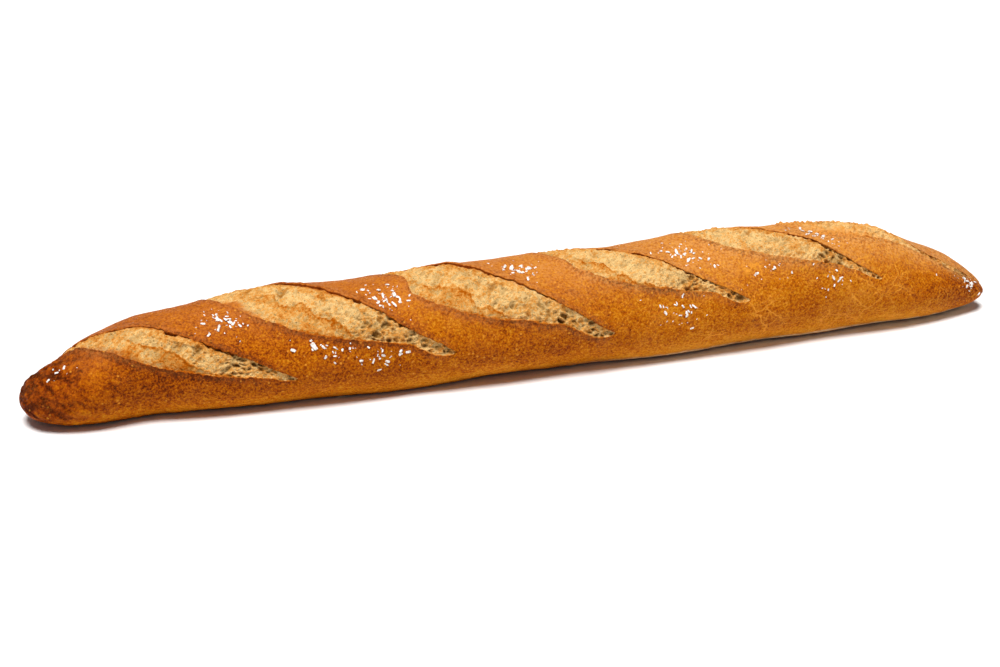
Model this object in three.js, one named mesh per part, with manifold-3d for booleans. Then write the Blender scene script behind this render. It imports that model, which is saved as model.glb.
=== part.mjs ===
// A scored baguette with coarse salt on its crust, lying on its flat base.
//
// Units are millimetres and +Z is up. +X runs along the loaf from its blunt end to its pointed
// end, and the origin is on the table, under the middle of the loaf's bounding box.
//
// A place on the crust is given by x and by an angle round the loaf: 0 is the front side (-Y),
// 90 the crest (+Z) and 180 the back side (+Y).
import * as THREE from "three";
import { mergeVertices } from "three/addons/utils/BufferGeometryUtils.js";
import Module from "manifold-3d";

const wasm = await Module();
wasm.setup();

// ---- Driving dimensions -------------------------------------------------------------------

// The loaf's lines, as stations along it: the width and the top of the section, the height at
// which its round underside would end, and how far the spine bows away from the front.
// An underside below zero is cut off by the table, which leaves the flat base.
const STATIONS = [
  { x: -265, width: 0, top: 12.5, under: 12.5, bow: -14.5 },
  { x: -259, width: 26, top: 24, under: 3.5, bow: -15.5 },
  { x: -247, width: 38.5, top: 30, under: -1, bow: -15 },
  { x: -228, width: 53, top: 39.5, under: -4, bow: -11 },
  { x: -196, width: 60.5, top: 47.5, under: -5, bow: -5 },
  { x: -150, width: 66, top: 51.5, under: -5, bow: -5 },
  { x: -85, width: 69, top: 53, under: -5, bow: -5.5 },
  { x: 0, width: 71, top: 55.5, under: -5, bow: -2.5 },
  { x: 85, width: 71, top: 55, under: -5, bow: 1 },
  { x: 150, width: 70.5, top: 55, under: -5, bow: 4 },
  { x: 196, width: 64.5, top: 50, under: -5, bow: 5.5 },
  { x: 228, width: 51.5, top: 38, under: -3.5, bow: 4 },
  { x: 247, width: 38, top: 29, under: -0.5, bow: 2.5 },
  { x: 259, width: 22.5, top: 20, under: 3.5, bow: -1 },
  { x: 265, width: 0, top: 10.5, under: 10.5, bow: -5.5 },
];
const WAIST_SHARE = 0.42; // height of the widest line, as a share of the section's height

// The six slashes. Each opened between two pointed tips, the back one past the crest and the
// front one low on the front side; up and down are how far its edges lie from the straight
// line between its tips, at the widest.
const SLASHES = [
  { back: { x: -243, angle: 118 }, front: { x: -127, angle: -4 }, up: -1, down: 21 },
  { back: { x: -178, angle: 152 }, front: { x: -45, angle: 3 }, up: 6, down: 25 },
  { back: { x: -90, angle: 152 }, front: { x: 41, angle: 2 }, up: 1, down: 26 },
  { back: { x: 3, angle: 147 }, front: { x: 118, angle: 17 }, up: -2, down: 24 },
  { back: { x: 82, angle: 145 }, front: { x: 196, angle: 24 }, up: 3, down: 17 },
  { back: { x: 148, angle: 128 }, front: { x: 256, angle: 50 }, up: 8, down: 18 },
];
const CRUST_PER_DEGREE = 0.534; // millimetres of crust to a degree, round the full section
const OPENING_START = 1.1; // how a slash widens from its back tip
const OPENING_END = 2; // and narrows to its front tip
const CAVE_DEPTH = 2; // crumb below the upper lip
const CRUMB_SINK = 0.5; // crumb below the lower lip
const LIP_HEIGHT = 1.8; // the torn crust that stands up along an opening
const LIP_SPREAD = 5; // width over which a lip falls back to the crust
const FULL_DEPTH_WIDTH = 12; // an opening narrower than this is shallower too

// Slow unevenness of the dough, as waves along and round the loaf.
const SWELLS = [
  { height: 0.7, along: 0.031, around: 2, phase: 0.4 },
  { height: 0.5, along: 0.052, around: -3, phase: 2.1 },
  { height: 0.35, along: 0.083, around: 4, phase: 4.4 },
];

const ROWS = 112; // sections along the loaf
const COLUMNS = 40; // points round each section
const TWIST_PER_MM = -1.1; // degrees; turns the columns to run along the slashes

// Coarse salt: patches on the crust between the slashes.
const SALT_PATCHES = [
  { x: -160, angle: 60, along: 16, around: 9, count: 6 },
  { x: -112, angle: 22, along: 12, around: 6, count: 4 },
  { x: -78, angle: 63, along: 17, around: 12, count: 6 },
  { x: -76, angle: 9, along: 14, around: 6, count: 3 },
  { x: -8, angle: 78, along: 16, around: 10, count: 5 },
  { x: 84, angle: 70, along: 16, around: 12, count: 6 },
  { x: 76, angle: 15, along: 13, around: 7, count: 4 },
  { x: 132, angle: 42, along: 10, around: 7, count: 2 },
  { x: 172, angle: 76, along: 17, around: 12, count: 6 },
  { x: 166, angle: 27, along: 8, around: 6, count: 2 },
  { x: 252, angle: 28, along: 6, around: 10, count: 3 },
  { x: -243, angle: 62, along: 8, around: 12, count: 1 },
];
const CRYSTAL_SIDE = { min: 1.7, max: 3.0 };
const CRYSTAL_FLATNESS = 0.72; // height over side
const CRYSTAL_SKEW = 0.16; // how far a corner strays, as a share of the side
const CRYSTAL_GAP = 0.35; // clear space over the crust
const CRYSTAL_SPACING = 3.8; // least distance between two crystals' centres
const SALT_CLEARANCE = 5; // least distance from a slash's edge
const SALT_SEED = 20;

const CRUST = new THREE.MeshStandardMaterial({ color: 0xb8691c, roughness: 0.55, metalness: 0 });
const SALT = new THREE.MeshStandardMaterial({ color: 0xf3efe8, roughness: 0.25, metalness: 0 });

// ---- Shape of the loaf --------------------------------------------------------------------

const FIRST_X = STATIONS[0].x;
const LENGTH = STATIONS.at(-1).x - FIRST_X;
const degrees = THREE.MathUtils.degToRad;

// Where a station's x falls on a scale that is stretched at both ends, so that the ends come
// out round rather than pointed.
const stretched = (x) => Math.acos(THREE.MathUtils.clamp(1 - (2 * (x - FIRST_X)) / LENGTH, -1, 1));

// A smooth curve through the stations' values of one key, with no overshoot between them
// (Fritsch and Carlson's monotone cubic).
function stationCurve(key) {
  const at = STATIONS.map((station) => stretched(station.x));
  const value = STATIONS.map((station) => station[key]);
  const secant = at.slice(1).map((end, i) => (value[i + 1] - value[i]) / (end - at[i]));
  const slope = at.map((_, i) => {
    if (i === 0) return secant[0];
    if (i === at.length - 1) return secant.at(-1);
    const [before, after] = [secant[i - 1], secant[i]];
    return before * after <= 0 ? 0 : (2 * before * after) / (before + after);
  });
  return (x) => {
    const place = stretched(x);
    let i = 0;
    while (i < at.length - 2 && place > at[i + 1]) i += 1;
    const span = at[i + 1] - at[i];
    const t = THREE.MathUtils.clamp((place - at[i]) / span, 0, 1);
    const fromEnd = t * t * (3 - 2 * t);
    const bend = t * (1 - t) * span * (slope[i] * (1 - t) - slope[i + 1] * t);
    return value[i] + (value[i + 1] - value[i]) * fromEnd + bend;
  };
}

const widthAt = stationCurve("width");
const topAt = stationCurve("top");
const underAt = stationCurve("under");
const bowAt = stationCurve("bow");

// The section at x: half-ellipses above and below its widest line.
function sectionAt(x) {
  const base = Math.max(underAt(x), 0);
  const waist = THREE.MathUtils.lerp(base, topAt(x), WAIST_SHARE);
  return {
    waist,
    halfWidth: widthAt(x) / 2,
    rise: topAt(x) - waist,
    drop: waist - underAt(x),
    bow: bowAt(x),
  };
}

// A slash in the flat plan of the crust, where x and the girth from the crest are both
// millimetres: its back tip, its direction, and the direction down across it.
function planOf(slash) {
  const girth = (angle) => CRUST_PER_DEGREE * (angle - 90);
  const start = new THREE.Vector2(slash.back.x, girth(slash.back.angle));
  const end = new THREE.Vector2(slash.front.x, girth(slash.front.angle));
  const length = start.distanceTo(end);
  const along = end.sub(start).divideScalar(length);
  const down = new THREE.Vector2(along.y, -along.x);
  return { ...slash, start, length, along, across: down };
}

const PLANS = SLASHES.map(planOf);
const WIDEST_SHARE = OPENING_START / (OPENING_START + OPENING_END);

// How open a slash is, from 0 at its tips to 1 at its widest.
function opening(share) {
  if (share <= 0 || share >= 1) return 0;
  const shape = (s) => s ** OPENING_START * (1 - s) ** OPENING_END;
  return shape(share) / shape(WIDEST_SHARE);
}

// Where a point of the crust lies in a slash: the opening's width there, the distance from
// the upper edge, and the distance outside the nearest edge (negative inside).
function placeInSlash(plan, x, angle) {
  const girth = CRUST_PER_DEGREE * (angle - 90);
  const offset = new THREE.Vector2(x, girth).sub(plan.start);
  const share = offset.dot(plan.along) / plan.length;
  const across = offset.dot(plan.across);
  const open = opening(share);
  const fromUpper = across + plan.up * open;
  const width = (plan.up + plan.down) * open;
  const beyondTip = Math.max(-share, share - 1, 0) * plan.length;
  const outside = Math.hypot(Math.max(-fromUpper, fromUpper - width, 0), beyondTip);
  return { width, fromUpper, outside: open > 0 && outside === 0 ? -1 : outside };
}

// Height of the crust or the crumb over the plain loaf, from one slash.
function slashRelief(plan, x, angle) {
  const { width, fromUpper, outside } = placeInSlash(plan, x, angle);
  const fullness = THREE.MathUtils.clamp(width / FULL_DEPTH_WIDTH, 0, 1);
  if (outside >= 0) return LIP_HEIGHT * fullness * Math.exp(-((outside / LIP_SPREAD) ** 2));
  const across = fromUpper / width;
  const bulge = Math.sin(Math.PI * Math.sqrt(across));
  const sink = THREE.MathUtils.lerp(CAVE_DEPTH, CRUMB_SINK, THREE.MathUtils.smoothstep(across, 0, 0.7));
  return fullness * (bulge - sink);
}

function swell(x, angle) {
  const wave = ({ height, along, around, phase }) =>
    height * Math.sin(along * x + around * degrees(angle) + phase);
  return SWELLS.reduce((sum, each) => sum + wave(each), 0);
}

// A point of the crust.
function crustAt(x, angle) {
  const { waist, halfWidth, rise, drop, bow } = sectionAt(x);
  const [c, s] = [Math.cos(degrees(angle)), Math.sin(degrees(angle))];
  const halfHeight = s > 0 ? rise : drop;
  const point = new THREE.Vector3(x, bow - halfWidth * c, waist + halfHeight * s);
  const outward = new THREE.Vector3(0, -c * halfHeight, s * halfWidth);
  if (outward.lengthSq() === 0) return point;
  outward.normalize();
  const wrapped = ((((angle + 90) % 360) + 360) % 360) - 90;
  const relief = PLANS.reduce((sum, plan) => sum + slashRelief(plan, x, wrapped), 0);
  const taper = THREE.MathUtils.clamp(halfWidth / 25, 0, 1);
  return point.addScaledVector(outward, taper * (relief + swell(x, wrapped)));
}

// The direction that faces out of the crust at a point, over about a crystal's reach.
function outwardAt(x, angle) {
  const reach = 1.5;
  const turn = reach / CRUST_PER_DEGREE;
  const lengthways = crustAt(x + reach, angle).sub(crustAt(x - reach, angle));
  const around = crustAt(x, angle + turn).sub(crustAt(x, angle - turn));
  return lengthways.cross(around).normalize();
}

// Places along the loaf at even steps of the distance travelled over its end profile.
function evenSections(count) {
  const fine = 4000;
  const placeAt = (i) => FIRST_X + (LENGTH * (1 - Math.cos((Math.PI * i) / fine))) / 2;
  const xs = Array.from({ length: fine + 1 }, (_, i) => placeAt(i));
  const travelled = [0];
  for (let i = 1; i <= fine; i += 1) {
    const step = Math.hypot(xs[i] - xs[i - 1], (widthAt(xs[i]) - widthAt(xs[i - 1])) / 2);
    travelled.push(travelled[i - 1] + step);
  }
  const picked = [];
  for (let i = 0, k = 1; k < count; k += 1) {
    const goal = (travelled[fine] * k) / count;
    while (travelled[i] < goal) i += 1;
    picked.push(xs[i]);
  }
  return picked;
}

// The closed skin of the loaf: rings of points from end to end, with a pole at each end.
function loafSkin() {
  const sections = evenSections(ROWS);
  const positions = [];
  const faces = [];
  positions.push(...crustAt(FIRST_X, 0).toArray());
  for (const x of sections)
    for (let j = 0; j < COLUMNS; j += 1)
      positions.push(...crustAt(x, (360 * j) / COLUMNS + TWIST_PER_MM * x).toArray());
  positions.push(...crustAt(FIRST_X + LENGTH, 0).toArray());
  const last = positions.length / 3 - 1;
  const at = (row, column) => 1 + row * COLUMNS + (column % COLUMNS);
  for (let j = 0; j < COLUMNS; j += 1) {
    faces.push(0, at(0, j), at(0, j + 1));
    faces.push(last, at(sections.length - 1, j + 1), at(sections.length - 1, j));
    for (let i = 0; i < sections.length - 1; i += 1) {
      const [a, b, c, d] = [at(i, j), at(i, j + 1), at(i + 1, j + 1), at(i + 1, j)];
      faces.push(a, c, b, a, d, c);
    }
  }
  return { positions: new Float32Array(positions), faces: new Uint32Array(faces) };
}

// ---- Solids -------------------------------------------------------------------------------

const solidOf = (vertProperties, triVerts) =>
  new wasm.Manifold(new wasm.Mesh({ numProp: 3, vertProperties, triVerts }));

function solidOfGeometry(geometry) {
  const bare = new THREE.BufferGeometry().setAttribute("position", geometry.getAttribute("position"));
  bare.setIndex(geometry.index);
  const merged = mergeVertices(bare, 1e-3);
  return solidOf(merged.attributes.position.array, new Uint32Array(merged.index.array));
}

function geometryOf(solid) {
  const { vertProperties, triVerts } = solid.getMesh();
  return new THREE.BufferGeometry()
    .setAttribute("position", new THREE.BufferAttribute(vertProperties, 3))
    .setIndex(new THREE.BufferAttribute(triVerts, 1));
}

// The loaf, with everything under the table's level cut off flat.
function makeLoaf() {
  const { positions, faces } = loafSkin();
  const skin = solidOf(positions, faces);
  const depth = 40;
  const table = new THREE.BoxGeometry(LENGTH * 2, LENGTH, depth).translate(0, 0, -depth / 2);
  const loaf = new THREE.Mesh(geometryOf(skin.subtract(solidOfGeometry(table))), CRUST);
  loaf.name = "loaf";
  return loaf;
}

// ---- Salt ---------------------------------------------------------------------------------

// Even random numbers from 0 to 1 that repeat with the seed (mulberry32).
function randomFrom(seed) {
  let state = seed;
  return () => {
    state = (state + 0x6d2b79f5) | 0;
    let mixed = Math.imul(state ^ (state >>> 15), 1 | state);
    mixed = (mixed + Math.imul(mixed ^ (mixed >>> 7), 61 | mixed)) ^ mixed;
    return ((mixed ^ (mixed >>> 14)) >>> 0) / 4294967296;
  };
}

// A crystal: a flat block whose corners stray, standing on the plane z = 0.
function crystalGeometry(random) {
  const side = THREE.MathUtils.lerp(CRYSTAL_SIDE.min, CRYSTAL_SIDE.max, random());
  const height = side * CRYSTAL_FLATNESS;
  const block = new THREE.BoxGeometry(side, side * THREE.MathUtils.lerp(0.7, 1, random()), height);
  block.deleteAttribute("normal");
  block.deleteAttribute("uv");
  const geometry = mergeVertices(block.translate(0, 0, height / 2), 1e-3);
  const corners = geometry.attributes.position;
  const stray = () => side * CRYSTAL_SKEW * (2 * random() - 1);
  for (let i = 0; i < corners.count; i += 1)
    corners.setXYZ(i, corners.getX(i) + stray(), corners.getY(i) + stray(), Math.max(0, corners.getZ(i) + stray()));
  return geometry;
}

// Scatters the crystals over their patches, clear of the slashes and of each other.
function makeSalt() {
  const random = randomFrom(SALT_SEED);
  const placed = [];
  const crystals = [];
  for (const patch of SALT_PATCHES) {
    for (let made = 0; made < patch.count; ) {
      const x = patch.x + patch.along * (random() + random() - 1);
      const angle = patch.angle + patch.around * (random() + random() - 1);
      const point = crustAt(x, angle);
      const inSlash = PLANS.some((plan) => placeInSlash(plan, x, angle).outside < SALT_CLEARANCE);
      const crowded = placed.some((other) => other.distanceTo(point) < CRYSTAL_SPACING);
      if (inSlash || crowded) continue;
      placed.push(point);
      made += 1;
      const outward = outwardAt(x, angle);
      const crystal = new THREE.Mesh(crystalGeometry(random), SALT);
      crystal.name = `salt_crystal_${String(placed.length).padStart(2, "0")}`;
      crystal.position.copy(point).addScaledVector(outward, CRYSTAL_GAP);
      crystal.quaternion.setFromUnitVectors(new THREE.Vector3(0, 0, 1), outward);
      crystal.rotateZ(Math.PI * random());
      crystals.push(crystal);
    }
  }
  return crystals;
}

// ---- Assembly -----------------------------------------------------------------------------

const baguette = new THREE.Group();
const loaf = makeLoaf();
baguette.add(loaf, ...makeSalt());

// Brings the middle of the loaf's bounding box over the origin.
const middle = new THREE.Box3().setFromObject(loaf).getCenter(new THREE.Vector3());
baguette.position.set(-middle.x, -middle.y, 0);

export default baguette;
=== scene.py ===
"""Looks of a scored baguette with coarse salt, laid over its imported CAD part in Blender.

Lengths in this file are millimetres in the loaf's own lines, and become metres when a mesh is
made. A place on the crust is given by x, along the loaf, and by an angle round it in degrees:
0 is the front side (-Y), 90 the crest (+Z) and 180 the back side (+Y).
"""
import itertools
import logging
import math
from dataclasses import dataclass, field
from enum import Enum
from functools import cached_property, reduce

import bpy
import numpy as np
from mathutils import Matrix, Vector


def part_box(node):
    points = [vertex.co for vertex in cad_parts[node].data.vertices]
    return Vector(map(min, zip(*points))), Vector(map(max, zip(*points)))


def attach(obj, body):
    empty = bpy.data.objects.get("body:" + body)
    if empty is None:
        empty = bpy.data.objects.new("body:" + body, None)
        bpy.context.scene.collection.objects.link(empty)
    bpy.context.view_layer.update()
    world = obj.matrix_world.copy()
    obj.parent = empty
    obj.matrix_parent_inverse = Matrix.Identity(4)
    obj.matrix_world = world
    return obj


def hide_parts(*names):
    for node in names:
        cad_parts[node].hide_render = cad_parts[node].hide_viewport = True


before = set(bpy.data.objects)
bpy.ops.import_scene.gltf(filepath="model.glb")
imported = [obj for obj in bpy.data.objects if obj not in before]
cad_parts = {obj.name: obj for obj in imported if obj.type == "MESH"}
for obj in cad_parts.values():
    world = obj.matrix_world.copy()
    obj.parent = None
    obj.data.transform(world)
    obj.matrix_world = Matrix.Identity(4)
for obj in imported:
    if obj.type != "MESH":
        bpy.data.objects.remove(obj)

LOG = logging.getLogger("baguette")
Array = np.ndarray
METRES = 0.001
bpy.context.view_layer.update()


class Slot(Enum):
    """Names of material slots."""

    CRUST = "crust"
    CRUMB = "crumb"
    SALT = "salt"


class Trait(Enum):
    """What each point of the bread's skin tells its material, from 0 to 1."""

    BAKE = "bake"  # how brown the crust is, with painted bounce light low on the sides and painted contact shade at the bottom rim
    CRUMB = "crumb"  # 0 on crust and 1 on torn crumb
    TOAST = "toast"  # how toasted the crumb is, with painted shade in the bowls under the flap
    CELL_SHADE = "cell"  # painted shade: how deep in an open cell, a bowl or a hollow of the web the crumb lies
    FLOUR = "flour"  # rough floury edge beside the base
    SOLE_AND_CONTACT_SHADE = "sole"  # the base itself, whose darker tan at the bottom edge is also painted contact shade
    PAINTED_SHEEN = "sheen"  # painted sheen: paler colour on the bands between the slashes and on the lips, for light reflected there


# ---- Helpers for whole arrays -------------------------------------------------------------


def smoothstep(low: float | Array, high: float | Array, value: Array) -> Array:
    """Eases from 0 at low to 1 at high by the cubic 3t^2 - 2t^3.

    Args:
        low: value that gives 0.
        high: value that gives 1; it may be below low.
        value: the values to ease.

    Returns:
        The eased values.
    """
    t = np.clip((value - low) / (high - low), 0, 1)
    return t * t * (3 - 2 * t)


def bell(value: Array, width: float | Array) -> Array:
    """A bump of height 1 at 0 that falls to 1/e at width, by exp(-(value/width)^2)."""
    return np.exp(-((value / width) ** 2))


def mixed(start: float | Array, end: float | Array, share: Array) -> Array:
    """Goes in a straight line from start at share 0 to end at share 1."""
    return start + (end - start) * share


def lattice_random(cell: Array, seed: int) -> Array:
    """Gives each cell of a lattice its own random number, by stirring the bits of its indices.

    Args:
        cell: whole indices, the last axis being x, y, z.
        seed: picks another set of numbers.

    Returns:
        Numbers from 0 to 1, with the last axis gone.
    """
    bits = cell.astype(np.int64).astype(np.uint32)
    stirred = bits[..., 0] * np.uint32(0x9E3779B1) ^ bits[..., 1] * np.uint32(0x85EBCA77)
    stirred ^= bits[..., 2] * np.uint32(0xC2B2AE3D) ^ np.uint32((seed * 0x27D4EB2F) & 0xFFFFFFFF)
    for shift, factor in ((15, 0x2C1B3C6D), (12, 0x297A2D39), (15, 0x85EBCA6B)):
        stirred ^= stirred >> np.uint32(shift)
        stirred = stirred * np.uint32(factor)
    return (stirred ^ (stirred >> np.uint32(14))) / 2.0**32


def smooth_noise(place: Array, size: float | Array, seed: int) -> Array:
    """Value noise: random heights at the corners of a lattice, blended by quintic easing.

    Args:
        place: points, the last axis being x, y, z.
        size: the lattice's cell, one length or one for each axis.
        seed: picks another pattern.

    Returns:
        Heights from -1 to 1, with the last axis gone.
    """
    scaled = place / size
    corner = np.floor(scaled)
    part = scaled - corner
    ease = part**3 * (part * (part * 6 - 15) + 10)
    total = np.zeros(place.shape[:-1])
    for offset in itertools.product((0, 1), repeat=3):
        weight = np.where(offset, ease, 1 - ease).prod(axis=-1)
        total += weight * lattice_random(corner + offset, seed)
    return 2 * total - 1


def layered_noise(place: Array, size: float | Array, seed: int, layers: int = 4) -> Array:
    """Sums layers of value noise, each half as wide and half as high as the one before.

    Args:
        place: points, the last axis being x, y, z.
        size: the first layer's cell, one length or one for each axis.
        seed: picks another pattern.
        layers: how many layers.

    Returns:
        Heights from -1 to 1, with the last axis gone.
    """
    total = np.zeros(place.shape[:-1])
    for layer in range(layers):
        total += smooth_noise(place, np.asarray(size) / 2**layer, seed + layer) / 2**layer
    return total / (2 - 2 ** (1 - layers))


def cell_pattern(place: Array, size: float | Array, seed: int) -> tuple[Array, Array]:
    """Worley noise: one random centre in each cell of a lattice.

    Args:
        place: points, the last axis being x, y, z.
        size: the lattice's cell, one length or one for each axis.
        seed: picks another pattern.

    Returns:
        How much further the second nearest centre is than the nearest, in cells, which is 0 on
        the walls between cells, and a random number for each cell.
    """
    scaled = place / size
    home = np.floor(scaled)
    nearest = np.full(place.shape[:-1], 9.0)
    second = nearest.copy()
    lot = np.zeros(place.shape[:-1])
    for offset in itertools.product((-1, 0, 1), repeat=3):
        cell = home + offset
        centre = cell + np.stack([lattice_random(cell, seed + 7 * k) for k in range(3)], axis=-1)
        distance = np.linalg.norm(centre - scaled, axis=-1)
        second = np.minimum(second, np.maximum(nearest, distance))
        lot = np.where(distance < nearest, lattice_random(cell, seed + 31), lot)
        nearest = np.minimum(nearest, distance)
    return second - nearest, lot


def warped(place: Array, size: float, amount: float, seed: int) -> Array:
    """Pushes points about by noise of the given size, so that a pattern read there is uneven."""
    push = [smooth_noise(place, size, seed + 13 * k) for k in range(3)]
    return place + amount * np.stack(push, axis=-1)


def drawn_out(place: Array, direction: tuple[float, float, float], times: float) -> Array:
    """Shortens points along a direction, so that a pattern read there is drawn out along it."""
    unit = np.array(direction) / np.linalg.norm(direction)
    return place - unit * (place @ unit)[..., None] * (1 - 1 / times)


def on_line(distance: Array) -> Array:
    """Points on the x axis, where noise varies with the distance alone."""
    return np.stack([distance, 0 * distance, 0 * distance], axis=-1)


def one_turn(angle: Array) -> Array:
    """The same angles from -90 to 270 degrees."""
    return (angle + 90) % 360 - 90


def at_even_steps(places: Array, steps: Array, shares: Array) -> Array:
    """Picks places at shares of the whole way, where steps are the lengths between places."""
    travelled = np.concatenate([[0], steps.cumsum()])
    return np.interp(shares * travelled[-1], travelled, places)


# ---- Shape of the loaf --------------------------------------------------------------------


@dataclass(frozen=True)
class Station:
    """One section of the loaf: where it is, its size, and how far the spine bows back."""

    x: float
    width: float
    top: float
    under: float
    bow: float


@dataclass(frozen=True)
class Slash:
    """One slash: its pointed tips and how far its edges lie from the line between them.

    Positions in a slash are in the flat plan of the crust: along it from its back tip, and
    across it, positive down towards the front side.
    """

    back: tuple[float, float]
    front: tuple[float, float]
    upper: float
    lower: float
    seed: int
    shelf: float = 0.5  # where the toasted shelf's edge crosses the middle of the opening
    crust_per_degree: float = 0.534  # millimetres of crust to a degree round the full section
    widening: float = 1.1
    narrowing: float = 2.0
    full_width: float = 10.0  # a narrower opening is shallower too
    cut_short: float = 0.94  # how far the outline runs before the front tip closes it
    blunt: float = 0.23  # how open the front tip stays
    tip_round: float = 0.06  # the share of its length in which the front tip closes
    pinch: float = 0.0  # how much the lower side draws in towards the back tip, past a step
    ear: float = 1.7  # height of the upper lip
    lip: float = 1.5  # height of the lower lip
    torn: float = 1.0  # how much of the opening is bare crumb, not crust
    covered: float = 0.3  # how much crust still covers the crumb's lower side at the back

    def flat(self, x: float | Array, angle: float | Array) -> Array:
        """A place on the crust as a point of the flat plan."""
        return np.stack([x, self.crust_per_degree * (angle - 90)], axis=-1)

    @property
    def start(self) -> Array:
        """The back tip in the flat plan."""
        return self.flat(*self.back)

    @property
    def span(self) -> Array:
        """The step from the back tip to the front tip in the flat plan."""
        return self.flat(*self.front) - self.start

    @property
    def length(self) -> float:
        """The distance between the tips."""
        return float(np.linalg.norm(self.span))

    @property
    def heading(self) -> Array:
        """The direction from the back tip to the front tip."""
        return self.span / self.length

    def to_plan(self, x: Array, angle: Array) -> tuple[Array, Array]:
        """Turns a place on the crust into distances along and across the slash.

        Args:
            x: places along the loaf.
            angle: places round it.

        Returns:
            The distances along and across.
        """
        offset = self.flat(x, angle) - self.start
        side = np.array([self.heading[1], -self.heading[0]])
        return offset @ self.heading, offset @ side

    def to_crust(self, along: Array, across: Array) -> tuple[Array, Array]:
        """Turns distances along and across the slash into a place on the crust.

        Args:
            along: distances along the slash.
            across: distances across it.

        Returns:
            Places along the loaf and round it.
        """
        x = self.start[0] + along * self.heading[0] + across * self.heading[1]
        girth = self.start[1] + along * self.heading[1] - across * self.heading[0]
        return x, 90 + girth / self.crust_per_degree

    def openness(self, along: Array) -> Array:
        """How open the slash is, from 0 outside its tips to 1 at the widest.

        It follows r^a (1-r)^b over its own greatest value, where r runs from 0 at the back tip
        to a little under 1 at the front tip, which stays open a little and is closed off round.

        Args:
            along: distances along the slash.

        Returns:
            The openness there.
        """
        s = np.clip(along / self.length, 0, 1)
        r = self.cut_short * s
        a, b = self.widening, self.narrowing
        widest = a / (a + b)
        shape = r**a * (1 - r) ** b / (widest**a * (1 - widest) ** b)
        shape = np.maximum(shape, self.blunt * smoothstep(0.6, 0.85, s))
        return shape * np.sqrt(np.clip((1 - s) / self.tip_round, 0, 1))

    def fullness(self, along: Array) -> Array:
        """How deep and high the opening's features are, from 0 at its tips to 1."""
        width = (self.lower - self.upper) * self.openness(along)
        return np.clip(width / self.full_width, 0, 1) ** 0.8

    def settled(self, along: Array) -> Array:
        """How high torn edges stand: 1 in the middle, 0.3 past the crest and 0.4 at the front tip.

        Args:
            along: distances along the slash.

        Returns:
            The share of their full height.
        """
        s = along / self.length
        past_crest = smoothstep(90, 116, mixed(self.back[1], self.front[1], s))
        return mixed(1, 0.3, past_crest) * mixed(1, 0.4, smoothstep(0.62, 0.88, s))

    @cached_property
    def outline(self) -> dict[str, Array]:
        """The edges and the heights of the lips, with their wandering, at fine steps along.

        Returns:
            Arrays named along, upper, lower, ear and lip.
        """
        along = np.arange(-12, self.length + 12, 0.1)
        place = on_line(along)
        open_share, full = self.openness(along), self.fullness(along)
        wander = np.minimum(open_share * 3, 1)
        upper = self.upper * open_share + 0.8 * wander * layered_noise(place, 11, self.seed, 5)
        upper = upper + 0.45 * wander * layered_noise(place, 2.2, self.seed + 3, 2)
        drawn_in = 1 - self.pinch * smoothstep(0.31, 0.25, along / self.length)
        lower = self.lower * open_share * drawn_in
        lower = lower + 0.9 * wander * layered_noise(place, 13, self.seed + 9, 5)
        lower = lower + 0.5 * wander * layered_noise(place, 1.9, self.seed + 13, 2)
        settled = full * self.settled(along)
        ear = self.ear * settled * (1 + 0.55 * layered_noise(place, 15, self.seed + 20, 5))
        lip = self.lip * settled * (1 + 0.35 * layered_noise(place, 24, self.seed + 30, 3))
        lower = np.maximum(lower, upper)
        return {"along": along, "upper": upper, "lower": lower, "ear": ear, "lip": lip}

    def read(self, key: str, along: Array) -> Array:
        """Reads one line of the outline at distances along the slash."""
        return np.interp(along, self.outline["along"], self.outline[key])

    def edges(self, along: Array) -> tuple[Array, Array]:
        """The distances across of the upper and the lower edge."""
        return self.read("upper", along), self.read("lower", along)


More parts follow.
